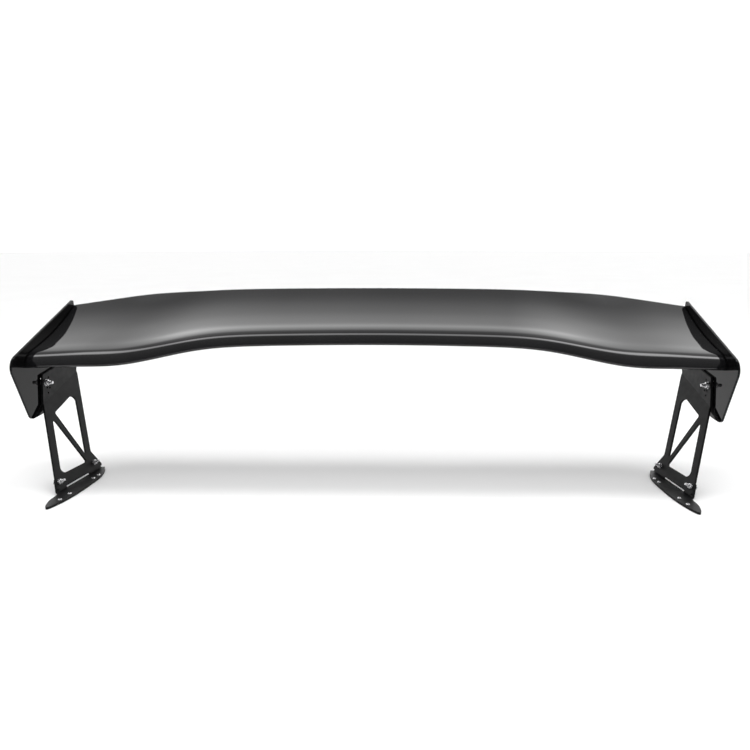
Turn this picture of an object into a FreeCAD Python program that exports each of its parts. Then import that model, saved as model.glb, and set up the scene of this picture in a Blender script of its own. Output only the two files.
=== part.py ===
"""Rear wing for a road-race car: an arched blade between two endplates, on two bent-plate stands.

Millimetres.  +X is the span, towards the car's right; +Y is the car's rear; +Z is up.
The origin is on the surface that the feet stand on, below the middle of the wing.
Every pair of parts is drawn for the right side and mirrored for the left.
"""
import FreeCAD, Part
import math
import os

V = FreeCAD.Vector

# ---------------------------------------------------------------- driving dimensions
HALF_SPAN = 775.0            # centre to the inner face of an endplate
ENDPLATE_T = 5.0             # endplate thickness
SHEET_T = 5.0                # stand thickness
SKIN_T = 2.0                 # laminate thickness of the blade
RUN_GAP = 0.3                # air between the endplate and what it turns past

# Blade: leading and trailing edge of one half, by distance from the middle.
LEADING_Y = -54.5
TRAILING_Y = 178.5
STATIONS = [                 # span, leading edge height, trailing edge height
    (0.0, 344.0, 440.5),
    (190.0, 342.0, 439.5),
    (345.0, 335.5, 437.0),
    (455.0, 317.0, 432.0),
    (560.0, 296.5, 425.5),
    (650.0, 292.4, 414.5),
    (712.0, 291.2, 405.6),
    (HALF_SPAN, 289.5, 396.5),
]
# Section in fractions of the chord, from the trailing edge over the top, round the nose
# and back underneath.
SECTION = [
    (1.000, 0.004), (0.880, -0.010), (0.750, -0.019), (0.600, -0.019), (0.450, -0.009),
    (0.300, 0.009), (0.215, 0.0225), (0.150, 0.032), (0.115, 0.0325), (0.075, 0.0265),
    (0.034, 0.010), (0.008, -0.012), (0.000, -0.030),
    (0.012, -0.050), (0.052, -0.069), (0.120, -0.096), (0.220, -0.120), (0.350, -0.130),
    (0.500, -0.122), (0.680, -0.092), (0.840, -0.049), (1.000, -0.005),
]
PARTING = [                  # the joint between the two skins, as fractions of the chord
    (-0.08, -0.030), (0.012, -0.030), (0.080, -0.040), (0.500, -0.070), (0.900, -0.020),
    (1.000, -0.0005), (1.080, 0.006),
]
BOND_T = 0.3                 # adhesive between a skin and the ribs and spars
CAVITY_END = 0.88            # the blade is solid laminate behind this fraction
BLADE_FLOOR = 150.0          # a height below all of the blade
FRONT_SPAR_Y = LEADING_Y + 64.0
REAR_SPAR_Y = LEADING_Y + 146.0
FRONT_SPAR_W = 12.0
REAR_SPAR_W = 8.0
END_RIB_T = 12.0
INNER_RIB_T = 6.0
INNER_RIBS_X = [-465.0, -155.0, 155.0, 465.0]
END_SCREWS = [(0.11, -0.027), (0.30, -0.060), (0.50, -0.070), (0.70, -0.054)]

# Endplate outline (Y, Z, corner radius).
ENDPLATE = [
    (178.5, 412.0, 5.0), (-105.0, 301.5, 30.0), (-51.5, 160.0, 14.0),
    (18.5, 162.0, 120.0), (176.5, 284.5, 14.0),
]

# Angle-of-attack pivot and the bolt that locks it (Y, Z).
PIVOT = (112.5, 276.0)
LOCK = (7.5, 233.5)
TILT_LIMIT = 5.0             # degrees each way
SLOT_OVERRUN = 0.4           # degrees of slot past the limit at each end
SLOT_CLEARANCE = 0.4         # slot flank to bolt
SPARE_HOLES = [(20.5, 243.0), (11.5, 220.0), (22.0, 218.0), (14.0, 207.5)]
SPARE_HOLE_R = 2.6

# Stand: a plate with an upright tab and a leg folded inboard below a sloping fold line.
SPACER_T = 1.0
TAB_X = HALF_SPAN - RUN_GAP - SPACER_T           # outboard face of the tab
FOLD_FRONT = V(TAB_X, -10.5, 185.5)
FOLD_LENGTH = 161.0
FOLD_SLOPE = 16.17           # degrees, rising to the rear
LEAN = 25.0                  # degrees, leg against the tab
BEND_R = 6.0                 # inside radius of the fold
TAB = [                      # (Y, Z, corner radius) above the fold
    (0.0, 253.0, 4.0), (54.5, 261.0, 20.0), (91.5, 304.0, 16.0), (133.5, 299.5, 18.0),
    (148.5, 250.0, 20.0),
]
LEG = [                      # (along the fold, down the leg, corner radius)
    (-139.8, 157.4, 6.0), (17.4, 207.7, 5.0), (16.0, 161.5, 10.0), (159.0, 6.0, 6.0),
]
WINDOWS = [
    [(9.5, 34.0, 5.0), (109.0, 33.0, 12.0), (-4.0, 160.0, 3.0)],
    [(-5.0, 36.0, 5.0), (-101.0, 140.5, 11.0), (-14.8, 170.0, 5.0)],
]
LEG_BOLTS = [(-119.6, 147.5), (0.0, 185.5)]

# Foot: a folded plate.  Its base lies on a rubber pad, its flange backs the leg.
PAD_T = 1.5
FOOT_T = 4.0
FOOT_EDGE_R = 0.8            # rounding along the flange's top
FOOT_SCREW_SHORT = 0.5       # the screws stop this far above the ground
FOOT_TOP = PAD_T + FOOT_T
FOOT_BEND_R = 3.0            # inside radius between base and flange
FLANGE_UP = 28.5             # flange height above the base, measured up its slope
FLANGE_INSET = 3.0           # flange ends inside the leg's edges
FLANGE_FRONT_RUN = 0.4645    # how far each flange end leans back per unit of slope height
FLANGE_REAR_RUN = -0.353
RELIEF = (35.0, 118.0)       # slot in the fold, from the leg's front corner
TOE = [                      # edge of the base (X, Y), from the fold round the toe to the heel
    (700.5, -122.0), (701.0, -137.0), (698.0, -156.0), (687.0, -178.5), (676.0, -158.0),
    (668.5, -130.0), (662.5, -90.0), (659.5, -40.0), (659.5, 0.0), (665.0, 28.0), (678.0, 60.0),
]
FOOT_SCREWS = [(679.0, -140.5), (675.0, -108.5), (667.5, -18.5), (665.5, 2.5)]

# Fasteners: shank radius, nut across flats and height, washer radius
M8_R = 4.0
M8_FLATS = 13.0
M8_NUT = 6.5
M8_WASHER = 8.0
M6_R = 3.0
M6_FLATS = 10.0
M6_NUT = 5.0
M6_WASHER = 6.0
M5_R = 2.5
WASHER_T = 1.6
SPACER_R = 10.5
BUSH_R = 6.0
THREAD_OUT = 9.0             # thread standing out of a nut
FIT = 0.05                   # radial play of a close hole
CLEAR = 0.2                  # radial play of an ordinary bolt hole
PRESS_GAP = 0.02             # air modelled round a pressed-in bush
SINK = 3.6                   # depth of a countersink in the endplate
SINK_BELOW = 0.2             # the screw's head lies this far under the face
SINK_SOCKET = 4.0            # hexagon key of a countersunk screw
SINK_SOCKET_DEPTH = 2.0
END_SCREW_SHORT = 1.0        # the screw ends this far before the rib's inner face
NUT_CHAMFER = 0.6
TIP_CHAMFER = 0.8
FAR = 400.0                  # long enough to cut right through

PARTS_DIR = "parts"


# ---------------------------------------------------------------- shared shapes
def frame(origin, x_dir, y_dir, z_dir):
    """Placement that takes local x, y, z to the three given directions."""
    m = FreeCAD.Matrix(
        x_dir.x, y_dir.x, z_dir.x, origin.x,
        x_dir.y, y_dir.y, z_dir.y, origin.y,
        x_dir.z, y_dir.z, z_dir.z, origin.z,
        0.0, 0.0, 0.0, 1.0)
    return FreeCAD.Placement(m)


def side_frame(x):
    """Local x, y, z run along Y, Z and X, at span position x."""
    return frame(V(x, 0, 0), V(0, 1, 0), V(0, 0, 1), V(1, 0, 0))


def placed(shape, placement):
    shape = shape.copy()
    shape.Placement = placement
    return shape


def rounded_wire(corners):
    """Closed wire through (x, y, radius) corners, each rounded by a tangent arc."""
    points = [V(x, y, 0) for x, y, _ in corners]
    count = len(points)
    spans = []
    for i, (_, _, radius) in enumerate(corners):
        here = points[i]
        back = (points[i - 1] - here).normalize()
        ahead = (points[(i + 1) % count] - here).normalize()
        half = back.getAngle(ahead) / 2.0
        if radius <= 0.0:
            spans.append((here, here, here))
            continue
        reach = radius / math.tan(half)
        middle = (back + ahead).normalize()
        centre = here + middle * (radius / math.sin(half))
        spans.append((here + back * reach, centre - middle * radius, here + ahead * reach))
    edges = []
    for i in range(count):
        start, mid, end = spans[i]
        if (end - start).Length > 1e-6:
            edges.append(Part.Arc(start, mid, end).toShape())
        following = spans[(i + 1) % count][0]
        if (following - end).Length > 1e-6:
            edges.append(Part.LineSegment(end, following).toShape())
    return Part.Wire(edges)


def slab(wire, thickness):
    return Part.Face(wire).extrude(V(0, 0, thickness))


def rod(base, direction, radius, length):
    return Part.makeCylinder(radius, length, base, direction)


def ring(base, direction, outer, inner, length):
    return rod(base, direction, outer, length).cut(rod(base, direction, inner, length))


def along_axis(base, direction):
    """Placement that turns local +Z to the given direction, at base."""
    side = direction.cross(V(0, 1, 0) if abs(direction.y) < 0.9 else V(0, 0, 1)).normalize()
    return frame(base, side, direction.cross(side), direction)


def hex_prism(flats, height, chamfer):
    """Upright hexagon bar with both ends chamfered."""
    radius = flats / math.sqrt(3.0)
    corners = [V(radius, 0, 0)]
    for k in range(1, 6):
        angle = math.radians(60 * k)
        corners.append(V(radius * math.cos(angle), radius * math.sin(angle), 0))
    prism = Part.Face(Part.makePolygon(corners + corners[:1])).extrude(V(0, 0, height))
    if chamfer <= 0.0:
        return prism
    low_r = flats / 2.0 - 0.2
    full_r = low_r + 2.0 * chamfer
    envelope = Part.Face(Part.makePolygon([
        V(0, 0, 0), V(low_r, 0, 0), V(full_r, 0, chamfer), V(full_r, 0, height - chamfer),
        V(low_r, 0, height), V(0, 0, height), V(0, 0, 0),
    ])).revolve(V(0, 0, 0), V(0, 0, 1), 360)
    return prism.common(envelope)


def nut(base, direction, shank_r, flats, height):
    hole = rod(V(0, 0, -1), V(0, 0, 1), shank_r + FIT, height + 2)
    return placed(hex_prism(flats, height, NUT_CHAMFER).cut(hole), along_axis(base, direction))


def button_screw(seat, direction, shank_r, length):
    """Round-head socket screw: seat is under the head, direction runs along the shank."""
    head_r = shank_r * 1.75
    head_h = shank_r * 1.1
    head = rod(V(0, 0, -head_h), V(0, 0, 1), head_r, head_h)
    rim = [e for e in head.Edges if e.CenterOfMass.z < -0.99 * head_h]
    head = head.makeFillet(head_h * 0.75, rim[:1])
    socket = hex_prism(shank_r * 1.25, head_h * 0.65 + 1.0, 0.0)
    socket.translate(V(0, 0, -head_h - 1.0))
    shank = rod(V(0, 0, 0), V(0, 0, 1), shank_r, length - TIP_CHAMFER)
    tip = Part.makeCone(shank_r, shank_r - TIP_CHAMFER, TIP_CHAMFER, V(0, 0, length - TIP_CHAMFER))
    screw = head.fuse([shank, tip]).removeSplitter().cut(socket)
    return placed(screw, along_axis(seat, direction))


def mirrored(shape):
    return shape.mirror(V(0, 0, 0), V(1, 0, 0))


def group(solids):
    return Part.makeCompound(solids)


# ---------------------------------------------------------------- blade
def chord_point(station, fraction, rise, inset=0.0):
    """Point of a section in its own side plane, from fractions of the chord."""
    _, lead_z, trail_z = station
    run = TRAILING_Y - LEADING_Y
    climb = trail_z - lead_z
    return V(LEADING_Y + fraction * run - rise * climb, lead_z + fraction * climb + rise * run, 0)


def section_curve(station, thickness_in):
    """Spline round a section, offset inwards by thickness_in."""
    points = [chord_point(station, f, r) for f, r in SECTION]
    curve = Part.BSplineCurve()
    curve.interpolate(points)
    if thickness_in <= 0.0:
        return curve
    cut_off = chord_point(station, CAVITY_END, 0.0).x
    knots = curve.getKnots()
    halfway = [(a + b) / 2.0 for a, b in zip(knots, knots[1:])]
    inner = []
    for u in sorted(knots + halfway):
        tangent = curve.tangent(u)[0]
        inward = V(-tangent.y, tangent.x, 0)
        point = curve.value(u) + inward * thickness_in
        if point.x < cut_off:
            inner.append(point)
    offset = Part.BSplineCurve()
    offset.interpolate(inner)
    return offset


def section_wire(station, thickness_in):
    curve = section_curve(station, thickness_in)
    closing = Part.LineSegment(curve.EndPoint, curve.StartPoint).toShape()
    return Part.Wire([curve.toShape(), closing])


def span_stations():
    left = [(-x, lead, trail) for x, lead, trail in reversed(STATIONS[1:])]
    return left + STATIONS


def blade_loft(thickness_in):
    wires = [placed(section_wire(s, thickness_in), side_frame(s[0])) for s in span_stations()]
    return Part.makeLoft(wires, True, False)


def parting_tool():
    """Everything above the joint between the two skins."""
    wires = []
    for station in span_stations():
        low = [chord_point(station, f, r) for f, r in PARTING]
        high = [chord_point(station, 1.08, 0.5), chord_point(station, -0.08, 0.5)]
        outline = Part.makePolygon(low + high + low[:1])
        wires.append(placed(outline, side_frame(station[0])))
    return Part.makeLoft(wires, True, False)


def cross_slab(x, width):
    """Tall thin box square to the span, centred on x."""
    return Part.makeBox(width, FAR, FAR, V(x - width / 2.0, -FAR / 2.0, BLADE_FLOOR))


def long_slab(y, width):
    """Tall thin box along the span, between the end ribs, centred on y."""
    reach = HALF_SPAN - END_RIB_T
    return Part.makeBox(2 * reach, width, FAR, V(-reach, y - width / 2.0, BLADE_FLOOR))


def end_screw_points():
    """Where the endplate screws enter the blade, on the section's mean line (Y, Z)."""
    tip = STATIONS[-1]
    return [chord_point(tip, fraction, rise) for fraction, rise in END_SCREWS]


def make_blade():
    outer = blade_loft(0.0)
    cavity = blade_loft(SKIN_T)
    shell = outer.cut(cavity)
    tool = parting_tool()
    upper = shell.common(tool)
    lower = shell.cut(tool)
    core = blade_loft(SKIN_T + BOND_T)
    front_spar = core.common(long_slab(FRONT_SPAR_Y, FRONT_SPAR_W))
    rear_spar = core.common(long_slab(REAR_SPAR_Y, REAR_SPAR_W))
    ribs = []
    for x in INNER_RIBS_X:
        rib = core.common(cross_slab(x, INNER_RIB_T)).cut(front_spar.fuse(rear_spar))
        ribs.extend(rib.Solids)
    end_x = HALF_SPAN - END_RIB_T / 2.0
    end_rib = core.common(cross_slab(end_x, END_RIB_T))
    for point in end_screw_points():
        end_rib = end_rib.cut(rod(V(HALF_SPAN - END_RIB_T, point.x, point.y), V(1, 0, 0),
                                  M6_R + FIT, END_RIB_T))
    return {
        "blade_upper_skin": upper,
        "blade_lower_skin": lower,
        "front_spar": front_spar,
        "rear_spar": rear_spar,
        "inner_ribs": group(ribs),
        "end_rib_right": end_rib,
        "end_rib_left": mirrored(end_rib),
    }


# ---------------------------------------------------------------- endplate
def lock_slot():
    """Curved slot round the pivot, wide enough for the lock bolt over the whole tilt."""
    dy = LOCK[0] - PIVOT[0]
    dz = LOCK[1] - PIVOT[1]
    radius = math.hypot(dy, dz)
    middle = math.atan2(dz, dy)
    reach = math.radians(TILT_LIMIT + SLOT_OVERRUN)
    half = M8_R + SLOT_CLEARANCE
    centre = V(PIVOT[0], PIVOT[1], 0)

    def at(r, angle):
        return centre + V(r * math.cos(angle), r * math.sin(angle), 0)

    low, high = middle - reach, middle + reach
    cap = half / radius
    edges = [
        Part.Arc(at(radius + half, low), at(radius + half, middle), at(radius + half, high)).toShape(),
        Part.Arc(at(radius + half, high), at(radius, high + cap), at(radius - half, high)).toShape(),
        Part.Arc(at(radius - half, high), at(radius - half, middle), at(radius - half, low)).toShape(),
        Part.Arc(at(radius - half, low), at(radius, low - cap), at(radius + half, low)).toShape(),
    ]
    return Part.Wire(edges)


def make_endplate():
    plate = slab(rounded_wire(ENDPLATE), ENDPLATE_T)
    plate = plate.cut(slab(lock_slot(), ENDPLATE_T))
    plate = plate.cut(rod(V(PIVOT[0], PIVOT[1], 0), V(0, 0, 1), BUSH_R + PRESS_GAP, ENDPLATE_T))
    for point in end_screw_points():
        plate = plate.cut(rod(point, V(0, 0, 1), M6_R + CLEAR, ENDPLATE_T))
        sink = Part.makeCone(M6_R, M6_R + SINK, SINK, point + V(0, 0, ENDPLATE_T - SINK), V(0, 0, 1))
        plate = plate.cut(sink)
    return placed(plate, side_frame(HALF_SPAN))


def end_screws():
    """Countersunk screws from the outer face of the endplate into the end rib."""
    screws = []
    inward = V(-1, 0, 0)
    head_h = SINK - 2 * SINK_BELOW
    length = ENDPLATE_T + END_RIB_T - SINK_BELOW - END_SCREW_SHORT
    for point in end_screw_points():
        face = V(HALF_SPAN + ENDPLATE_T - SINK_BELOW, point.x, point.y)
        head = Part.makeCone(M6_R + head_h, M6_R, head_h, face, inward)
        shank = rod(face + inward * head_h, inward, M6_R, length - head_h)
        socket = placed(hex_prism(SINK_SOCKET, SINK_SOCKET_DEPTH, 0.0), along_axis(face, inward))
        screws.append(head.fuse(shank).removeSplitter().cut(socket))
    return group(screws)


def pivot_bush():
    return ring(V(HALF_SPAN, PIVOT[0], PIVOT[1]), V(1, 0, 0), BUSH_R, M8_R + FIT, ENDPLATE_T)


# ---------------------------------------------------------------- stand
def fold_axes():
    """Along the fold, down the leg, and the leg's inboard normal."""
    slope = math.radians(FOLD_SLOPE)
    lean = math.radians(LEAN)
    along = V(0, math.cos(slope), math.sin(slope))
    up = V(0, -math.sin(slope), math.cos(slope))
    out = V(1, 0, 0)
    down_leg = out * -math.sin(lean) - up * math.cos(lean)
    normal = out * -math.cos(lean) + up * math.sin(lean)
    return along, up, down_leg, normal


def leg_frame():
    along, _, down_leg, normal = fold_axes()
    return frame(FOLD_FRONT, along, down_leg, normal)


def leg_point(s, t, depth=0.0):
    along, _, down_leg, normal = fold_axes()
    return FOLD_FRONT + along * s + down_leg * t + normal * depth


def make_stand():
    along, up, _, _ = fold_axes()
    outer_r = BEND_R + SHEET_T
    setback = outer_r * math.tan(math.radians(LEAN / 2.0))

    fold_a = FOLD_FRONT + up * setback
    fold_b = fold_a + along * FOLD_LENGTH
    outline = [(fold_a.y, fold_a.z, 0.0)] + TAB + [(fold_b.y, fold_b.z, 0.0)]
    tab = placed(slab(rounded_wire(outline), SHEET_T), side_frame(TAB_X - SHEET_T))

    leg_outline = [(0.0, setback, 0.0)] + LEG + [(FOLD_LENGTH, setback, 0.0)]
    leg = slab(rounded_wire(leg_outline), SHEET_T)
    for window in WINDOWS:
        leg = leg.cut(slab(rounded_wire(window), SHEET_T))
    for s, t in LEG_BOLTS:
        leg = leg.cut(rod(V(s, t, 0), V(0, 0, 1), M6_R + CLEAR, SHEET_T))
    leg = placed(leg, leg_frame())

    centre = fold_a - V(outer_r, 0, 0)
    bend = Part.Face(bend_wire(centre, along, outer_r)).extrude(along * FOLD_LENGTH)

    stand = tab.fuse([bend, leg]).removeSplitter()
    for y, z in [PIVOT, LOCK]:
        stand = stand.cut(rod(V(TAB_X - SHEET_T, y, z), V(1, 0, 0), M8_R + CLEAR, SHEET_T))
    for y, z in SPARE_HOLES:
        stand = stand.cut(rod(V(TAB_X - SHEET_T, y, z), V(1, 0, 0), SPARE_HOLE_R, SHEET_T))
    return stand


def bend_wire(centre, along, outer_r):
    """Outline of the fold's cross-section: a ring sector from the tab round to the leg."""
    def at(radius, degrees):
        spoke = FreeCAD.Rotation(along, degrees).multVec(V(1, 0, 0))
        return centre + spoke * radius

    return Part.Wire([
        Part.LineSegment(at(BEND_R, 0), at(outer_r, 0)).toShape(),
        Part.Arc(at(outer_r, 0), at(outer_r, LEAN / 2), at(outer_r, LEAN)).toShape(),
        Part.LineSegment(at(outer_r, LEAN), at(BEND_R, LEAN)).toShape(),
        Part.Arc(at(BEND_R, LEAN), at(BEND_R, LEAN / 2), at(BEND_R, 0)).toShape(),
    ])


# ---------------------------------------------------------------- top fasteners
def top_bolt(y, z):
    """Bolt from outside the endplate to inside the tab."""
    seat = V(HALF_SPAN + ENDPLATE_T + RUN_GAP + WASHER_T, y, z)
    grip = seat.x - (TAB_X - SHEET_T) + WASHER_T
    return button_screw(seat, V(-1, 0, 0), M8_R, grip + M8_NUT + THREAD_OUT)


def top_washers(y, z):
    outer = ring(V(HALF_SPAN + ENDPLATE_T + RUN_GAP, y, z), V(1, 0, 0), M8_WASHER, M8_R + CLEAR, WASHER_T)
    inner = ring(V(TAB_X - SHEET_T, y, z), V(-1, 0, 0), M8_WASHER, M8_R + CLEAR, WASHER_T)
    return group([outer, inner])


def top_nut(y, z):
    return nut(V(TAB_X - SHEET_T - WASHER_T, y, z), V(-1, 0, 0), M8_R, M8_FLATS, M8_NUT)


def top_spacer(y, z):
    return ring(V(TAB_X, y, z), V(1, 0, 0), SPACER_R, M8_R + CLEAR, SPACER_T)


# ---------------------------------------------------------------- foot
def foot_axes():
    """Along the leg's level lower edge, square inboard of it, and up the leg's outer face."""
    along, _, down_leg, normal = fold_axes()
    edge = (along * -down_leg.z + down_leg * along.z).normalize()
    inboard = V(-edge.y, edge.x, 0)
    up_leg = normal.cross(edge)
    if up_leg.z < 0:
        up_leg = up_leg * -1.0
    return edge, inboard, up_leg


def fold_corner():
    """Where the leg's outer face, below its front corner, meets the top of the base."""
    _, _, up_leg = foot_axes()
    corner = leg_point(LEG[0][0], LEG[0][1])
    return corner - up_leg * ((corner.z - FOOT_TOP) / up_leg.z)


def foot_frame():
    """Local x, y, z run inboard, up and along the fold, from the ground below its front end."""
    edge, inboard, _ = foot_axes()
    corner = fold_corner()
    return frame(V(corner.x, corner.y, 0), inboard, V(0, 0, 1), edge)


def flange_blank(length):
    """Flange, fold and a strip of base, full length."""
    _, inboard, up_leg = foot_axes()
    lean = V(up_leg.dot(inboard), up_leg.z, 0)
    outward = V(-lean.y, lean.x, 0) * FOOT_T
    inner_low = V(0, FOOT_TOP, 0)
    inner_top = inner_low + lean * FLANGE_UP
    outer_top = inner_top + outward
    drop = (outer_top.y - PAD_T) / lean.y
    outer_low = outer_top - lean * drop
    strip = 1.5 * FOOT_T
    profile = rounded_wire([
        (inner_top.x, inner_top.y, FOOT_EDGE_R), (outer_top.x, outer_top.y, FOOT_EDGE_R),
        (outer_low.x, outer_low.y, FOOT_BEND_R + FOOT_T), (strip, PAD_T, 0.0),
        (strip, FOOT_TOP, 0.0), (inner_low.x, inner_low.y, FOOT_BEND_R),
    ])
    return Part.Face(profile).extrude(V(0, 0, length))


def foot_outline(z):
    """Straight along the fold, then one smooth curve round the toe and back to the heel."""
    edge, _, _ = foot_axes()
    corner = fold_corner()
    front = V(corner.x, corner.y, z)
    heel = front + edge * leg_width()
    curve = Part.BSplineCurve()
    curve.interpolate([front] + [V(x, y, z) for x, y in TOE])
    return Part.Wire([
        curve.toShape(),
        Part.LineSegment(curve.EndPoint, heel).toShape(),
        Part.LineSegment(heel, front).toShape(),
    ])


def leg_width():
    """Length of the leg's lower edge."""
    return (leg_point(LEG[1][0], LEG[1][1]) - leg_point(LEG[0][0], LEG[0][1])).Length


def foot_layer(z, thickness, hole_r):
    layer = Part.Face(foot_outline(z)).extrude(V(0, 0, thickness))
    for x, y in FOOT_SCREWS:
        layer = layer.cut(rod(V(x, y, z), V(0, 0, 1), hole_r, thickness))
    return layer


def make_foot():
    width = leg_width()
    _, _, up_leg = foot_axes()
    top = FOOT_TOP + FLANGE_UP * up_leg.z
    # the leg's lower corners stand this far up the slope, so the ends are set out from there
    lift = (leg_point(LEG[0][0], LEG[0][1]).z - FOOT_TOP) / up_leg.z
    low_front = FLANGE_INSET - FLANGE_FRONT_RUN * lift
    low_rear = width - FLANGE_INSET - FLANGE_REAR_RUN * lift
    outline = Part.makePolygon([
        V(0, 0, low_front), V(0, FOOT_TOP, low_front),
        V(0, top, low_front + FLANGE_FRONT_RUN * FLANGE_UP),
        V(0, top, low_rear + FLANGE_REAR_RUN * FLANGE_UP),
        V(0, FOOT_TOP, low_rear), V(0, 0, low_rear), V(0, 0, low_front),
    ])
    reach = 60.0
    keep = Part.Face(outline).extrude(V(reach, 0, 0))
    keep.translate(V(-reach / 2.0, 0, 0))
    blank = flange_blank(2.0 * reach + width)
    blank.translate(V(0, 0, -reach))
    relief = Part.makeBox(reach, lift + FOOT_TOP, RELIEF[1] - RELIEF[0], V(-reach, 0, RELIEF[0]))
    flange = placed(blank.common(keep).cut(relief), foot_frame())
    foot = foot_layer(PAD_T, FOOT_T, M5_R + FIT).fuse(flange).removeSplitter()
    _, _, _, normal = fold_axes()
    for bolt in LEG_BOLTS:
        foot = foot.cut(rod(leg_point(*bolt) - normal * 2.0 * FOOT_T, normal, M6_R + CLEAR, 3.0 * FOOT_T))
    return foot


def foot_screws():
    screws = []
    for x, y in FOOT_SCREWS:
        screws.append(button_screw(V(x, y, FOOT_TOP), V(0, 0, -1), M5_R, FOOT_TOP - FOOT_SCREW_SHORT))
    return group(screws)


def leg_bolt_set():
    """Bolts from outside the flange, with washers and nuts on the inboard side."""
    _, _, _, normal = fold_axes()
    bolts, washers, nuts = [], [], []
    for s, t in LEG_BOLTS:
        inner_face = leg_point(s, t, SHEET_T)
        outer_face = leg_point(s, t, -FOOT_T)
        seat = outer_face - normal * WASHER_T
        grip = SHEET_T + FOOT_T + 2 * WASHER_T
        bolts.append(button_screw(seat, normal, M6_R, grip + M6_NUT + THREAD_OUT))
        washers.append(ring(seat, normal, M6_WASHER, M6_R + CLEAR, WASHER_T))
        washers.append(ring(inner_face, normal, M6_WASHER, M6_R + CLEAR, WASHER_T))
        nuts.append(nut(inner_face + normal * WASHER_T, normal, M6_R, M6_FLATS, M6_NUT))
    return group(bolts), group(washers), group(nuts)


# ---------------------------------------------------------------- the whole wing
def right_side_nodes():
    leg_bolts, leg_washers, leg_nuts = leg_bolt_set()
    return {
        "endplate": make_endplate(),
        "endplate_screws": end_screws(),
        "pivot_bush": pivot_bush(),
        "stand": make_stand(),
        "pivot_bolt": top_bolt(*PIVOT),
        "pivot_washers": top_washers(*PIVOT),
        "pivot_nut": top_nut(*PIVOT),
        "pivot_spacer": top_spacer(*PIVOT),
        "lock_bolt": top_bolt(*LOCK),
        "lock_washers": top_washers(*LOCK),
        "lock_nut": top_nut(*LOCK),
        "lock_spacer": top_spacer(*LOCK),
        "leg_bolts": leg_bolts,
        "leg_washers": leg_washers,
        "leg_nuts": leg_nuts,
        "foot_plate": make_foot(),
        "foot_pad": foot_layer(0.0, PAD_T, M5_R + FIT),
        "foot_screws": foot_screws(),
    }


def main():
    os.makedirs(PARTS_DIR, exist_ok=True)
    nodes = make_blade()
    for name, shape in right_side_nodes().items():
        nodes[name + "_right"] = shape
        nodes[name + "_left"] = mirrored(shape)
    for name, shape in nodes.items():
        shape.exportStep(os.path.join(PARTS_DIR, name + ".step"))
        box = shape.BoundBox
        print("%-22s solids %2d valid %s volume %9.0f  Y %.1f..%.1f Z %.1f..%.1f" % (
            name, len(shape.Solids), shape.isValid(), shape.Volume, box.YMin, box.YMax, box.ZMin, box.ZMax))
    whole = Part.makeCompound(list(nodes.values())).optimalBoundingBox(False)
    print("size %.1f x %.1f x %.1f" % (whole.XLength, whole.YLength, whole.ZLength))
    print("X %.2f..%.2f  Y %.2f..%.2f  Z %.2f..%.2f" % (
        whole.XMin, whole.XMax, whole.YMin, whole.YMax, whole.ZMin, whole.ZMax))


main()
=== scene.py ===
"""Looks of a racing rear wing: gloss blade and endplates on two satin folded-plate stands.

Metres.  +X across the car towards its right, +Y towards its rear, +Z up.
"""
import math

import bmesh
import bpy
from mathutils import Matrix, Vector


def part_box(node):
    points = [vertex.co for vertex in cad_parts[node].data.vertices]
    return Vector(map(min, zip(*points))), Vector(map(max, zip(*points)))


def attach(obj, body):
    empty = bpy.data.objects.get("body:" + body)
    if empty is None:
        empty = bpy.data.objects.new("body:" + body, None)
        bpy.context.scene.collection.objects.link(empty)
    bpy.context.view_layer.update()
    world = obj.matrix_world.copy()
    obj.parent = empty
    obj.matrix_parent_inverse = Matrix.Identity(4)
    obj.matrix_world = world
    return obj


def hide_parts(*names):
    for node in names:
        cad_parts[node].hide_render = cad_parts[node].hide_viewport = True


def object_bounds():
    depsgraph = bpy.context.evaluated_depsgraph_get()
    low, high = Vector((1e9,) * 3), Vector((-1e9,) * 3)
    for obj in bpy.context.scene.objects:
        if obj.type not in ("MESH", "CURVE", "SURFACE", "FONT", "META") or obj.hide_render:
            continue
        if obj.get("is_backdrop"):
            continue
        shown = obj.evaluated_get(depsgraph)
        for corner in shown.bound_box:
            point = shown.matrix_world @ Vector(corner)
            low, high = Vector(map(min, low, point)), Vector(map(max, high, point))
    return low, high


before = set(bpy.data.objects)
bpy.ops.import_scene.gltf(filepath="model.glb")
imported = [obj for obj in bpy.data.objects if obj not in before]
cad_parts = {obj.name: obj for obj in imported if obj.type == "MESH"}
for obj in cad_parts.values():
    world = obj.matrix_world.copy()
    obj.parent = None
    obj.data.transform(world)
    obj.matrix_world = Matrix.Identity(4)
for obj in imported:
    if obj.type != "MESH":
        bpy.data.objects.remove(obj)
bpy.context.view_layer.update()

scene = bpy.context.scene


# ------------------------------------------------------------------ camera
# It stands in front of the wing at about the blade's height above the feet, a little to the
# right of the middle, and looks down by about twelve degrees.
# The lens is a moderate wide angle, and the frame is shifted a little sideways.
camera_data = bpy.data.cameras.new("camera")
camera_data.sensor_width = 36.0
camera_data.lens = 29.14
camera_data.shift_x = -0.0259
camera_data.clip_end = 100.0             # past the studio's wall
camera = bpy.data.objects.new("camera", camera_data)
camera.location = (0.073, -1.3615, 0.5555)
LOOK_DOWN = 12.39                        # degrees below level
LOOK_LEFT = 1.047                        # degrees off straight ahead
camera.rotation_euler = (math.radians(90.0 - LOOK_DOWN), 0.0, math.radians(LOOK_LEFT))
scene.collection.objects.link(camera)
scene.camera = camera
scene.view_settings.view_transform = "Standard"


# ------------------------------------------------------------------ floor
# A plain sheet of pale matt paper, far larger than the wing, with a faint cloudiness.
# It catches the wing's soft shadow.
NOISE_LOW = 0.3          # most of a noise texture's values lie between these two
NOISE_HIGH = 0.7
FLOOR_REACH = 40.0


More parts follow.
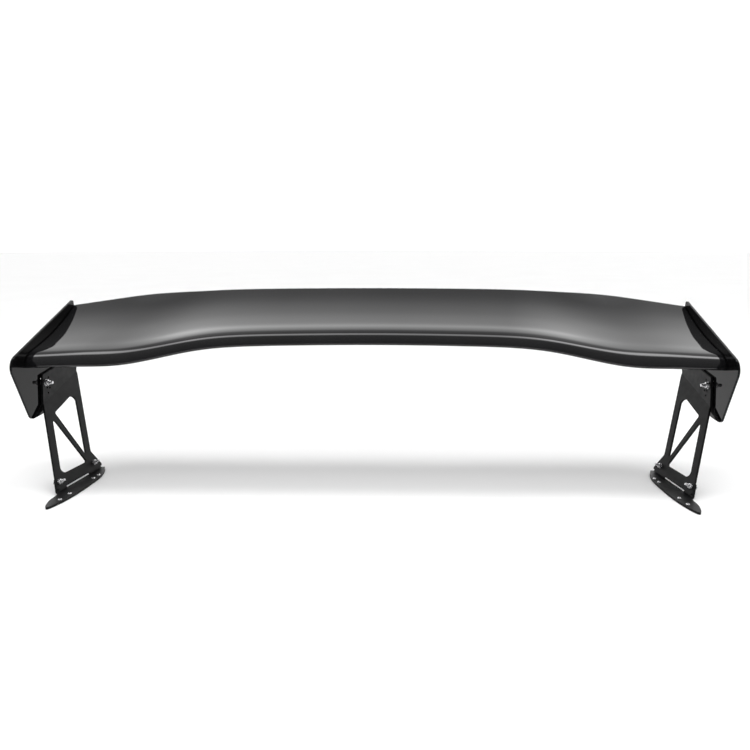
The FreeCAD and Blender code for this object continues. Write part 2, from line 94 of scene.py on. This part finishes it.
def shader(name):
    """New material with its Principled node: (material, nodes, link function, principled)."""
    material = bpy.data.materials.new(name)
    material.use_nodes = True
    tree = material.node_tree
    return material, tree.nodes, tree.links.new, tree.nodes["Principled BSDF"]


def noise(nodes, link, scale, detail=3.0, stretch=(1.0, 1.0, 1.0)):
    """Noise texture on Object coordinates, stretched by axis."""
    coordinates = nodes.new("ShaderNodeTexCoord")
    mapping = nodes.new("ShaderNodeMapping")
    mapping.inputs["Scale"].default_value = stretch
    texture = nodes.new("ShaderNodeTexNoise")
    texture.inputs["Scale"].default_value = scale
    texture.inputs["Detail"].default_value = detail
    link(coordinates.outputs["Object"], mapping.inputs["Vector"])
    link(mapping.outputs["Vector"], texture.inputs["Vector"])
    return texture.outputs["Fac"]


def tint(nodes, link, value, dark, light):
    """Turns a noise value into a colour between dark and light."""
    ramp = nodes.new("ShaderNodeValToRGB")
    ramp.color_ramp.elements[0].position = NOISE_LOW
    ramp.color_ramp.elements[0].color = (*dark, 1.0)
    ramp.color_ramp.elements[1].position = NOISE_HIGH
    ramp.color_ramp.elements[1].color = (*light, 1.0)
    link(value, ramp.inputs["Fac"])
    return ramp.outputs["Color"]


def new_piece(name, bm, material, smooth=True):
    """Turns a finished bmesh into an object at the origin."""
    mesh = bpy.data.meshes.new(name)
    for face in bm.faces:
        face.smooth = smooth
    bm.to_mesh(mesh)
    bm.free()
    piece = bpy.data.objects.new(name, mesh)
    scene.collection.objects.link(piece)
    mesh.materials.append(material)
    return piece


floor_material, nodes, link, principled = shader("studio_floor")
link(tint(nodes, link, noise(nodes, link, 1.5), (0.90, 0.90, 0.90), (0.92, 0.92, 0.92)),
     principled.inputs["Base Color"])
principled.inputs["Roughness"].default_value = 0.85
bm = bmesh.new()
bmesh.ops.create_grid(bm, x_segments=1, y_segments=1, size=FLOOR_REACH)
floor = new_piece("floor", bm, floor_material, smooth=False)
floor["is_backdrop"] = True


# ------------------------------------------------------------------ black cloth
# A matt black cloth laid on the floor in front of the wing.
# Only the gloss sees it: it keeps the blade's nose dark and the floor stays pale.
CLOTH_HALF = (6.0, 3.0)
CLOTH_MIDDLE = (0.0, -4.0, 0.01)
cloth_material, nodes, link, principled = shader("black_cloth")
link(tint(nodes, link, noise(nodes, link, 30.0), (0.02, 0.02, 0.02), (0.04, 0.04, 0.04)),
     principled.inputs["Base Color"])
principled.inputs["Roughness"].default_value = 0.95
bm = bmesh.new()
bmesh.ops.create_grid(bm, x_segments=1, y_segments=1, size=1.0)
bmesh.ops.scale(bm, vec=(*CLOTH_HALF, 1.0), verts=bm.verts)
bmesh.ops.translate(bm, vec=CLOTH_MIDDLE, verts=bm.verts)
cloth = new_piece("black_cloth", bm, cloth_material, smooth=False)
cloth.visible_camera = False
cloth.visible_diffuse = False
cloth.visible_shadow = False
cloth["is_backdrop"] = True


# ------------------------------------------------------------------ studio wall
# The plain pale wall behind everything, whichever side the wing is looked at from.
# It stays out of the gloss and casts no shadow.
wall_material, nodes, link, principled = shader("studio_wall")
link(tint(nodes, link, noise(nodes, link, 0.05), (0.97, 0.97, 0.97), (1.0, 1.0, 1.0)),
     principled.inputs["Emission Color"])
principled.inputs["Emission Strength"].default_value = 1.0
bm = bmesh.new()
bmesh.ops.create_uvsphere(bm, u_segments=48, v_segments=24, radius=FLOOR_REACH - 1.0)
wall = new_piece("studio_wall", bm, wall_material)
wall.visible_diffuse = False
wall.visible_glossy = False
wall.visible_transmission = False
wall.visible_shadow = False
wall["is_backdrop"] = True


# ------------------------------------------------------------------ studio light
# A soft dome: bright low behind the wing, dimmer higher up, dim in front, and one long softbox
# straight overhead.  A broad lamp above lights the floor and stays out of the gloss.
BRIGHTEST = 5.0
DOME_LEVELS = [     # degrees up from the horizon behind the wing, over the top and down in front
    (0, 1.30), (20, 1.60), (32, 1.90), (37, 1.30), (45, 1.08), (50, 1.02), (56, 0.85), (64, 0.62),
    (70, 0.50), (75, 0.60), (79, 3.60), (86, 3.60), (93, 0.42), (150, 0.30), (180, 0.25),
]
WIDEST = 2.0
SIDE_LEVELS = [     # behind the wing, from far left (-1) to far right (1), against the middle
    (-1.0, 0.3), (-0.7, 0.6), (-0.5, 1.45), (-0.36, 1.3), (-0.2, 1.12), (0.0, 1.0), (0.2, 1.03),
    (0.32, 1.5), (0.4, 1.8), (0.5, 1.8), (0.7, 0.6), (1.0, 0.3),
]
FRONT_SIDE = (-0.3, 0.2)    # depths between which the side levels come in


def fill_ramp(ramp, levels, top):
    """Sets a ramp's stops from (position, level) pairs, each level as a share of top."""
    stops = ramp.color_ramp.elements
    for i, (position, level) in enumerate(levels):
        stop = stops[i] if i < 2 else stops.new(position)
        stop.position = position
        stop.color = (level / top, level / top, level / top, 1.0)


world = bpy.data.worlds.new("studio")
scene.world = world
world.use_nodes = True
nodes, link = world.node_tree.nodes, world.node_tree.links.new


def math_node(operation, value):
    """Math node fed with one value."""
    node = nodes.new("ShaderNodeMath")
    node.operation = operation
    link(value, node.inputs[0])
    return node


direction = nodes.new("ShaderNodeTexCoord")
split = nodes.new("ShaderNodeSeparateXYZ")
link(direction.outputs["Generated"], split.inputs["Vector"])
angle = math_node("ARCTAN2", split.outputs["Z"])
link(split.outputs["Y"], angle.inputs[1])
above = math_node("ABSOLUTE", angle.outputs["Value"])
half_turns = math_node("DIVIDE", above.outputs["Value"])
half_turns.inputs[1].default_value = math.pi
dome = nodes.new("ShaderNodeValToRGB")
fill_ramp(dome, [(degrees / 180.0, level) for degrees, level in DOME_LEVELS], BRIGHTEST)
link(half_turns.outputs["Value"], dome.inputs["Fac"])

across = nodes.new("ShaderNodeMapRange")
across.inputs["From Min"].default_value = -1.0
link(split.outputs["X"], across.inputs["Value"])
sides = nodes.new("ShaderNodeValToRGB")
fill_ramp(sides, [((side + 1.0) / 2.0, level) for side, level in SIDE_LEVELS], WIDEST)
link(across.outputs["Result"], sides.inputs["Fac"])
behind = nodes.new("ShaderNodeMapRange")
behind.interpolation_type = "SMOOTHSTEP"
behind.inputs["From Min"].default_value = FRONT_SIDE[0]
behind.inputs["From Max"].default_value = FRONT_SIDE[1]
link(split.outputs["Y"], behind.inputs["Value"])
side_level = nodes.new("ShaderNodeMix")
side_level.inputs["A"].default_value = 1.0 / WIDEST
link(behind.outputs["Result"], side_level.inputs["Factor"])
link(sides.outputs["Color"], side_level.inputs["B"])
strength = math_node("MULTIPLY", side_level.outputs["Result"])
strength.inputs[1].default_value = WIDEST * BRIGHTEST
link(dome.outputs["Color"], nodes["Background"].inputs["Color"])
link(strength.outputs["Value"], nodes["Background"].inputs["Strength"])

fill_data = bpy.data.lights.new("floor_fill", "AREA")
fill_data.size = 3.0
fill_data.energy = 55.0
fill = bpy.data.objects.new("floor_fill", fill_data)
fill.location = (0.0, -0.6, 3.2)
fill.visible_glossy = False
scene.collection.objects.link(fill)


# ------------------------------------------------------------------ blade
# Two moulded skins bonded along the nose and the trailing edge: a black laminate under a thick
# clear lacquer.  One smooth shape is drawn from sections along the span, then parted in two.
HALF_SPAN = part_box("blade_upper_skin")[1].x
LEADING_Y = -0.0545
TRAILING_Y = 0.1785
STATIONS = [                 # span, leading edge height, trailing edge height
    (0.0, 0.3440, 0.4405),
    (0.190, 0.3420, 0.4395),
    (0.345, 0.3355, 0.4370),
    (0.455, 0.3170, 0.4320),
    (0.560, 0.2965, 0.4255),
    (0.650, 0.2924, 0.4145),
    (0.712, 0.2912, 0.4056),
    (HALF_SPAN, 0.2895, 0.3965),
]
SECTION = [                  # fractions of the chord, over the top and back underneath
    (1.000, 0.004), (0.880, -0.010), (0.750, -0.019), (0.600, -0.019), (0.450, -0.009),
    (0.300, 0.009), (0.215, 0.0225), (0.150, 0.032), (0.115, 0.0325), (0.075, 0.0265),
    (0.034, 0.010), (0.008, -0.012), (0.000, -0.030),
    (0.012, -0.050), (0.052, -0.069), (0.120, -0.096), (0.220, -0.120), (0.350, -0.130),
    (0.500, -0.122), (0.680, -0.092), (0.840, -0.049), (1.000, -0.005),
]
LOWER_STRIPS = range(12, 20)    # from the nose back; the last strip underneath is in the upper piece
SKIN_WALL = 0.001            # just under half of the trailing edge's thickness
SMOOTHING = 4                # subdivision levels
FITTING_ROUNDS = 12
GLOSS = (0.04, 0.07)         # roughness of polished lacquer, from its clearest to its haziest


def control_points(through):
    """Control points of the smooth subdivision curve that passes through the given points."""
    control = [Vector(p) for p in through]
    for _ in range(FITTING_ROUNDS):
        for i in range(1, len(control) - 1):
            reached = (control[i - 1] + 4.0 * control[i] + control[i + 1]) / 6.0
            control[i] = control[i] + Vector(through[i]) - reached
    return control


def spread(nodes, link, value, low, high):
    """Turns a noise value into a number between low and high."""
    ramp = nodes.new("ShaderNodeMapRange")
    ramp.inputs["From Min"].default_value = NOISE_LOW
    ramp.inputs["From Max"].default_value = NOISE_HIGH
    ramp.inputs["To Min"].default_value = low
    ramp.inputs["To Max"].default_value = high
    link(value, ramp.inputs["Value"])
    return ramp.outputs["Result"]


def bump(nodes, link, height, strength, distance, below=None):
    """Bump from a height, on top of another bump if one is given."""
    node = nodes.new("ShaderNodeBump")
    node.inputs["Strength"].default_value = strength
    node.inputs["Distance"].default_value = distance
    link(height, node.inputs["Height"])
    if below is not None:
        link(below, node.inputs["Normal"])
    return node.outputs["Normal"]


def lacquer(name, dark, light, specular, peel):
    """Gloss black lacquer: faint cloudiness in the colour and the slow ripple of a sprayed coat."""
    material, nodes, link, principled = shader(name)
    clouds = noise(nodes, link, 6.0, 4.0)
    link(tint(nodes, link, clouds, dark, light), principled.inputs["Base Color"])
    haze = noise(nodes, link, 40.0, 5.0, (1.0, 3.0, 3.0))
    link(spread(nodes, link, haze, *GLOSS), principled.inputs["Roughness"])
    ripple = bump(nodes, link, noise(nodes, link, 260.0, 2.0), peel, 0.0001)
    link(ripple, principled.inputs["Normal"])
    principled.inputs["IOR"].default_value = 1.5
    principled.inputs["Specular IOR Level"].default_value = specular
    return material


blade_lacquer = lacquer("blade_lacquer", (0.0045, 0.0045, 0.0050), (0.0080, 0.0080, 0.0088),
                        specular=0.5, peel=0.05)

spine = control_points([(-x, lead, trail) for x, lead, trail in reversed(STATIONS[1:])] + STATIONS)
outline = control_points([(fraction, rise, 0.0) for fraction, rise in SECTION])
chord = TRAILING_Y - LEADING_Y


def blade_point(station, section_point):
    """Where a section point lies at one station: (fraction, rise) of a chord that climbs."""
    span, lead, trail = station
    fraction, rise, _ = section_point
    climb = trail - lead
    return Vector((span, LEADING_Y + fraction * chord - rise * climb,
                   lead + fraction * climb + rise * chord))


bm = bmesh.new()
order = bm.verts.layers.int.new("order")
row = []
for number, section_point in enumerate(outline):
    vert = bm.verts.new(blade_point(spine[0], section_point))
    vert[order] = number
    row.append(vert)
edges = [bm.edges.new(pair) for pair in zip(row, row[1:])]
skin_side = bm.faces.layers.int.new("skin")
for station in spine[1:]:
    made = bmesh.ops.extrude_edge_only(bm, edges=edges)["geom"]
    edges = [item for item in made if isinstance(item, bmesh.types.BMEdge)
             and all(v in made for v in item.verts)]
    for vert in [item for item in made if isinstance(item, bmesh.types.BMVert)]:
        vert.co = blade_point(station, outline[vert[order]])
for face in bm.faces:
    face[skin_side] = 1 if min(v[order] for v in face.verts) in LOWER_STRIPS else 0
cage = new_piece("blade_cage", bm, blade_lacquer)
smoothing = cage.modifiers.new("smoothing", "SUBSURF")
smoothing.levels = SMOOTHING
smoothing.render_levels = SMOOTHING
smoothing.boundary_smooth = "PRESERVE_CORNERS"
smooth_cage = cage.evaluated_get(bpy.context.evaluated_depsgraph_get())
smooth_mesh = bpy.data.meshes.new_from_object(smooth_cage)
bpy.data.objects.remove(cage)

for number, node in enumerate(("blade_upper_skin", "blade_lower_skin")):
    bm = bmesh.new()
    bm.from_mesh(smooth_mesh)
    layer = bm.faces.layers.int["skin"]
    other_skin = [f for f in bm.faces if f[layer] != number]
    bmesh.ops.delete(bm, geom=other_skin, context="FACES")
    facing = sum((f.normal * f.calc_area() for f in bm.faces), Vector())
    if (facing.z > 0.0) == (number == 1):
        bmesh.ops.reverse_faces(bm, faces=bm.faces)
    skin = new_piece(node.replace("blade", "lacquered"), bm, blade_lacquer)
    laminate = skin.modifiers.new("wall", "SOLIDIFY")
    laminate.thickness = SKIN_WALL
    laminate.offset = -1.0
    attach(skin, "wing")
    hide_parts(node)


# ------------------------------------------------------------------ spars and ribs
# Aluminium strips and plates inside the blade, milled along their length and left bare.
# They are glued between the skins, and the endplates' screws go into the end ribs.
WELD_GAP = 0.00001
FLAT_WITHIN = math.radians(0.5)      # triangles this close to one plane become one face
ROUNDED_FROM = math.radians(40.0)    # edges this sharp are rounded
CRISP_FROM = math.radians(32.0)      # edges this sharp are shaded crisp


def finish_node(name, material, bevel=0.0):
    """Gives a CAD node its material and joins its triangles, with fine edge rounding if asked."""
    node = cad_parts[name]
    node.data.materials.clear()
    node.data.materials.append(material)
    for polygon in node.data.polygons:
        polygon.use_smooth = True
        polygon.material_index = 0
    weld = node.modifiers.new("weld", "WELD")
    weld.merge_threshold = WELD_GAP
    if bevel > 0.0:
        flat = node.modifiers.new("flat", "DECIMATE")
        flat.decimate_type = "DISSOLVE"
        flat.angle_limit = FLAT_WITHIN
        rounding = node.modifiers.new("rounding", "BEVEL")
        rounding.width = bevel
        rounding.segments = 2
        rounding.limit_method = "ANGLE"
        rounding.angle_limit = ROUNDED_FROM
        rounding.use_clamp_overlap = True
        shading = node.modifiers.new("shading", "WEIGHTED_NORMAL")
        shading.weight = 100
        shading.keep_sharp = True
    else:
        edges = node.modifiers.new("edges", "EDGE_SPLIT")
        edges.split_angle = CRISP_FROM


milled, nodes, link, principled = shader("milled_aluminium")
streaks = noise(nodes, link, 90.0, 4.0, (0.08, 1.0, 4.0))
link(tint(nodes, link, streaks, (0.60, 0.61, 0.62), (0.78, 0.79, 0.80)),
     principled.inputs["Base Color"])
link(spread(nodes, link, streaks, 0.28, 0.45), principled.inputs["Roughness"])
link(bump(nodes, link, streaks, 0.2, 0.0002), principled.inputs["Normal"])
principled.inputs["Metallic"].default_value = 1.0
for name in ("front_spar", "rear_spar", "inner_ribs", "end_rib_right", "end_rib_left"):
    finish_node(name, milled)


# ------------------------------------------------------------------ endplates
# Flat plates in a gloss black a shade deeper than the blade's, with sanded and sprayed edges.
# Countersunk screws hold each one to its end rib.
ENDPLATE_EDGE = 0.0006
endplate_lacquer = lacquer("endplate_lacquer", (0.0020, 0.0020, 0.0022),
                           (0.0035, 0.0035, 0.0038), specular=0.2, peel=0.03)
for name in ("endplate_right", "endplate_left"):
    finish_node(name, endplate_lacquer, ENDPLATE_EDGE)


# ------------------------------------------------------------------ stands and feet
# Stands of five-millimetre plate and feet of four, laser cut and folded, then powder coated a
# satin black with a fine grain.  Each foot's flange backs its stand's leg, held by two bolts.
PLATE_EDGE = 0.0005
powder_coat, nodes, link, principled = shader("powder_coat")
patches = noise(nodes, link, 14.0, 4.0)
link(tint(nodes, link, patches, (0.0035, 0.0035, 0.0038), (0.0060, 0.0060, 0.0064)),
     principled.inputs["Base Color"])
link(spread(nodes, link, noise(nodes, link, 60.0, 5.0), 0.42, 0.54), principled.inputs["Roughness"])
grain = noise(nodes, link, 1500.0, 2.0)
soft = bump(nodes, link, noise(nodes, link, 120.0, 3.0), 0.08, 0.0004)
link(bump(nodes, link, grain, 0.35, 0.0001, soft), principled.inputs["Normal"])
principled.inputs["Specular IOR Level"].default_value = 0.15
for name in ("stand_right", "stand_left", "foot_plate_right", "foot_plate_left"):
    finish_node(name, powder_coat, PLATE_EDGE)


# ------------------------------------------------------------------ foot pads
# Sheet rubber cut to the foot's outline, with the dull talc bloom of new rubber.
# Each foot plate lies on one.
pad_rubber, nodes, link, principled = shader("pad_rubber")
bloom = noise(nodes, link, 55.0, 6.0)
link(tint(nodes, link, bloom, (0.008, 0.008, 0.008), (0.018, 0.018, 0.0175)),
     principled.inputs["Base Color"])
link(spread(nodes, link, bloom, 0.75, 0.92), principled.inputs["Roughness"])
link(bump(nodes, link, noise(nodes, link, 900.0, 2.0), 0.3, 0.0002), principled.inputs["Normal"])
for name in ("foot_pad_right", "foot_pad_left"):
    finish_node(name, pad_rubber)


# ------------------------------------------------------------------ washers, spacers, bushes
# Pressed stainless washers, black nylon spacers and turned brass bushes at the pivots.
# The endplates' countersunk screws are of the same steel as the washers.
steel, nodes, link, principled = shader("fastener_steel")
scuffs = noise(nodes, link, 420.0, 4.0, (1.0, 1.0, 3.0))
link(tint(nodes, link, scuffs, (0.52, 0.52, 0.53), (0.74, 0.74, 0.75)),
     principled.inputs["Base Color"])
link(spread(nodes, link, scuffs, 0.16, 0.30), principled.inputs["Roughness"])
link(bump(nodes, link, scuffs, 0.08, 0.0001), principled.inputs["Normal"])
principled.inputs["Metallic"].default_value = 1.0

nylon, nodes, link, principled = shader("spacer_nylon")
cloud = noise(nodes, link, 160.0, 3.0)
link(tint(nodes, link, cloud, (0.018, 0.018, 0.018), (0.030, 0.030, 0.030)),
     principled.inputs["Base Color"])
link(spread(nodes, link, cloud, 0.45, 0.60), principled.inputs["Roughness"])

brass, nodes, link, principled = shader("bush_brass")
turning = noise(nodes, link, 700.0, 2.0, (4.0, 1.0, 1.0))
link(tint(nodes, link, turning, (0.62, 0.45, 0.18), (0.80, 0.62, 0.30)),
     principled.inputs["Base Color"])
link(spread(nodes, link, turning, 0.2, 0.34), principled.inputs["Roughness"])
principled.inputs["Metallic"].default_value = 1.0

for side in ("right", "left"):
    for name in ("pivot_washers_", "lock_washers_", "leg_washers_", "endplate_screws_"):
        finish_node(name + side, steel)
    for name in ("pivot_spacer_", "lock_spacer_"):
        finish_node(name + side, nylon)
    finish_node("pivot_bush_" + side, brass)


# ------------------------------------------------------------------ bolts, nuts and screws
# Button-head stainless bolts with rolled threads, closed by hexagon lock nuts with a nylon ring.
# Each is turned from its profile, and its hexagons are pressed in afterwards.
STEPS = 48                   # steps round a turned shape
MERGE_GAP = 0.000002
ON_AXIS = 1e-6               # nearer than this to the axis, or to a level, counts as on it
HEAD_RADIUS = 1.75           # of a bolt's head, as a share of its shank's radius
HEAD_HEIGHT = 1.1            # the same
SOCKET_RADIUS = 0.8          # the same
SOCKET_FLATS = 1.25          # the same
SOCKET_FLOOR = 0.45          # its height above the seat, as a share of the head's
HEAD_SIDE = 0.15             # share of the head's height below its dome
DOME_RIM = 1.1               # the dome's inner radius against the socket's
DOME_STEPS = 6
SOCKET_BREAK = 0.00015       # small bevel round the socket
SOCKET_REACH = 0.0002        # how far round the socket the hexagon is pressed
HEAD_BREAK = 0.0002          # small bevel under the head
NUT_BREAK = 0.0001           # small bevel inside the nut's flats
NUT_CHAMFER = 0.0007
NUT_PLAY = 0.00005           # between nut and shank
COLLAR_RADIUS = 0.42         # share of the nut's flats
COLLAR_CHAMFER = 0.0006
RING_GROOVE = 0.0009         # depth of the collar's groove for the ring
RING_WIDTH = 0.00095
RING_BITE = 0.0001           # how far the ring grips into the thread
RING_LIP = 0.0002
M8 = {"shank": 0.0040, "flats": 0.0130, "nut": 0.0065, "pitch": 0.00125}
M6 = {"shank": 0.0030, "flats": 0.0100, "nut": 0.0050, "pitch": 0.00100}
M5 = {"shank": 0.0025, "pitch": 0.00080}


def turned(profile):
    """Solid about +Z from (radius, height) points that end on the axis or close on themselves."""
    bm = bmesh.new()
    verts = [bm.verts.new((radius, 0.0, height)) for radius, height in profile]
    edges = [bm.edges.new(pair) for pair in zip(verts, verts[1:])]
    bmesh.ops.spin(bm, geom=verts + edges, cent=(0, 0, 0), axis=(0, 0, 1),
                   angle=math.tau, steps=STEPS, use_merge=True)
    bmesh.ops.remove_doubles(bm, verts=bm.verts, dist=MERGE_GAP)
    bmesh.ops.recalc_face_normals(bm, faces=bm.faces)
    return bm


def hexagon_radius(vert, flats):
    """Distance from the axis to the hexagon's side, in this vertex's direction."""
    angle = math.atan2(vert.co.y, vert.co.x)
    off_flat = (angle + math.pi / 6.0) % (math.pi / 3.0) - math.pi / 6.0
    return flats / 2.0 / math.cos(off_flat)


def scale_out(vert, radius):
    """Moves a vertex straight out or in to the given radius."""
    now = math.hypot(vert.co.x, vert.co.y)
    vert.co.x *= radius / now
    vert.co.y *= radius / now


def thread(profile, shank, pitch, start, end):
    """Adds the zigzag of a rolled thread to a profile, from start to end along the axis."""
    root = shank - 0.55 * pitch
    turns = int((end - start) / pitch)
    for turn in range(turns):
        z = start + turn * pitch
        profile.append((root, z + 0.10 * pitch))
        profile.append((root, z + 0.25 * pitch))
        profile.append((shank, z + 0.60 * pitch))
        profile.append((shank, z + 0.75 * pitch))


def bolt(size, length, plain):
    """Button-head bolt, its seat at height 0 and its shank along +Z."""
    shank, pitch = size["shank"], size["pitch"]
    head_r, head_h = HEAD_RADIUS * shank, HEAD_HEIGHT * shank
    socket_r = SOCKET_RADIUS * shank
    rim_r = DOME_RIM * socket_r
    floor_z = -SOCKET_FLOOR * head_h
    profile = [(0.0, floor_z), (socket_r, floor_z), (socket_r, -head_h + SOCKET_BREAK)]
    profile.append((socket_r + SOCKET_BREAK, -head_h))
    for k in range(DOME_STEPS + 1):
        angle = math.pi / 2.0 * k / DOME_STEPS
        profile.append((rim_r + (head_r - rim_r) * math.sin(angle),
                        -head_h * (HEAD_SIDE + (1.0 - HEAD_SIDE) * math.cos(angle))))
    profile.append((head_r, -HEAD_BREAK))
    profile.append((head_r - HEAD_BREAK, 0.0))
    profile.append((shank, 0.0))
    profile.append((shank, plain))
    thread(profile, shank, pitch, plain, length - 0.6 * pitch)
    profile.append((shank - 0.6 * pitch, length))
    profile.append((0.0, length))
    bm = turned(profile)
    for vert in bm.verts:
        now = math.hypot(vert.co.x, vert.co.y)
        if vert.co.z < floor_z + ON_AXIS and ON_AXIS < now < socket_r + SOCKET_REACH:
            scale_out(vert, now / socket_r * hexagon_radius(vert, SOCKET_FLATS * shank))
    return bm


def lock_nut(size):
    """Hexagon nut with a rolled collar, standing on height 0."""
    shank, flats, height = size["shank"], size["flats"], size["nut"]
    corner = flats / math.sqrt(3.0)
    bore = shank + NUT_PLAY
    collar = COLLAR_RADIUS * flats
    bm = turned([
        (bore, 0.0), (0.5 * flats - NUT_BREAK, 0.0), (corner, NUT_CHAMFER), (corner, 0.72 * height),
        (0.5 * flats - NUT_BREAK, 0.80 * height), (collar, 0.82 * height),
        (collar, 0.93 * height), (collar - COLLAR_CHAMFER, height),
        (bore + RING_GROOVE, height), (bore + RING_GROOVE, 0.90 * height),
        (bore, 0.90 * height), (bore, 0.0),
    ])
    for vert in bm.verts:
        limit = hexagon_radius(vert, flats)
        if math.hypot(vert.co.x, vert.co.y) > limit:
            scale_out(vert, limit)
    return bm


def nylon_ring(size):
    """Ring that sits in the lock nut's collar, standing on the nut's height 0."""
    bore = size["shank"] - RING_BITE
    bottom, top = 0.905 * size["nut"], 0.985 * size["nut"]
    return turned([(bore, bottom), (bore + RING_WIDTH, bottom), (bore + RING_WIDTH, top),
                   (bore + RING_LIP, top), (bore, 0.96 * size["nut"]), (bore, bottom)])


def towards(base, direction):
    """Matrix that turns +Z to the given direction, at base."""
    return Matrix.Translation(base) @ Vector(direction).to_track_quat("Z", "Y").to_matrix().to_4x4()


def add_turned(name, makers, material, node):
    """Joins (bmesh, place) pairs into one piece that stands for a CAD node."""
    bm = bmesh.new()
    for part, place in makers:
        bmesh.ops.transform(part, matrix=place, verts=part.verts)
        mesh = bpy.data.meshes.new("part")
        part.to_mesh(mesh)
        part.free()
        bm.from_mesh(mesh)
        bpy.data.meshes.remove(mesh)
    piece = new_piece(name, bm, material)
    edges = piece.modifiers.new("edges", "EDGE_SPLIT")
    edges.split_angle = CRISP_FROM
    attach(piece, "root")
    if node:
        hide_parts(node)


# the leg's plane, from the fold's front end: along the fold, down the leg, and inboard
FOLD_SLOPE = math.radians(16.17)
LEAN = math.radians(25.0)
FOLD_FRONT = Vector((0.7737, -0.0105, 0.1855))
LEG_BOLTS = [(-0.1196, 0.1475), (0.0, 0.1855)]
STAND_T = 0.005
FOOT_T = 0.004
WASHER_T = 0.0016
up_fold = Vector((0.0, -math.sin(FOLD_SLOPE), math.cos(FOLD_SLOPE)))
along_fold = Vector((0.0, math.cos(FOLD_SLOPE), math.sin(FOLD_SLOPE)))
down_leg = Vector((-math.sin(LEAN), 0.0, 0.0)) - up_fold * math.cos(LEAN)
inboard = Vector((-math.cos(LEAN), 0.0, 0.0)) + up_fold * math.sin(LEAN)
FOOT_SCREWS = [(0.6790, -0.1405), (0.6750, -0.1085), (0.6675, -0.0185), (0.6655, 0.0025)]
FOOT_TOP = 0.0055
FOOT_SCREW_LENGTH = 0.0050
FOOT_SCREW_PLAIN = 0.001     # length of unthreaded shank
LEG_BOLT_PLAIN = 0.008
LEG_BOLT_OUT = 0.009         # length of thread past the nut
PIVOT_BOLT_PLAIN = 0.45        # unthreaded share of a pivot or lock bolt's length

for side, sign in (("right", 1.0), ("left", -1.0)):
    mirror = Vector((sign, 1.0, 1.0))
    for name in ("pivot", "lock"):
        low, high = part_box(name + "_bolt_" + side)
        outer = high.x if sign > 0 else low.x
        middle = (low + high) / 2.0
        head_h = HEAD_HEIGHT * M8["shank"]
        seat = Vector((outer - sign * head_h, middle.y, middle.z))
        length = high.x - low.x - head_h
        inward = Vector((-sign, 0.0, 0.0))
        add_turned(name + "_thread_bolt_" + side,
                   [(bolt(M8, length, PIVOT_BOLT_PLAIN * length), towards(seat, inward))],
                   steel, name + "_bolt_" + side)
        low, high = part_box(name + "_nut_" + side)
        foot = Vector((high.x if sign > 0 else low.x, middle.y, middle.z))
        add_turned(name + "_lock_nut_" + side, [(lock_nut(M8), towards(foot, inward))],
                   steel, name + "_nut_" + side)
        add_turned(name + "_nut_ring_" + side, [(nylon_ring(M8), towards(foot, inward))],
                   nylon, None)
    bolts, nuts, rings = [], [], []
    for along, down in LEG_BOLTS:
        axis_point = FOLD_FRONT + along_fold * along + down_leg * down
        seat = axis_point - inboard * (FOOT_T + WASHER_T)
        foot = axis_point + inboard * (STAND_T + WASHER_T)
        length = FOOT_T + STAND_T + 2.0 * WASHER_T + M6["nut"] + LEG_BOLT_OUT
        direction = inboard * mirror
        bolts.append((bolt(M6, length, LEG_BOLT_PLAIN), towards(seat * mirror, direction)))
        nuts.append((lock_nut(M6), towards(foot * mirror, direction)))
        rings.append((nylon_ring(M6), towards(foot * mirror, direction)))
    add_turned("leg_thread_bolts_" + side, bolts, steel, "leg_bolts_" + side)
    add_turned("leg_lock_nuts_" + side, nuts, steel, "leg_nuts_" + side)
    add_turned("leg_nut_rings_" + side, rings, nylon, None)
    screws = []
    for x, y in FOOT_SCREWS:
        seat = Vector((sign * x, y, FOOT_TOP))
        screws.append((bolt(M5, FOOT_SCREW_LENGTH, FOOT_SCREW_PLAIN), towards(seat, (0.0, 0.0, -1.0))))
    add_turned("deck_screws_" + side, screws, steel, "foot_screws_" + side)


# ------------------------------------------------------------------ size
# The box of the finished model, over every shown piece but the backdrops.
low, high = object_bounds()
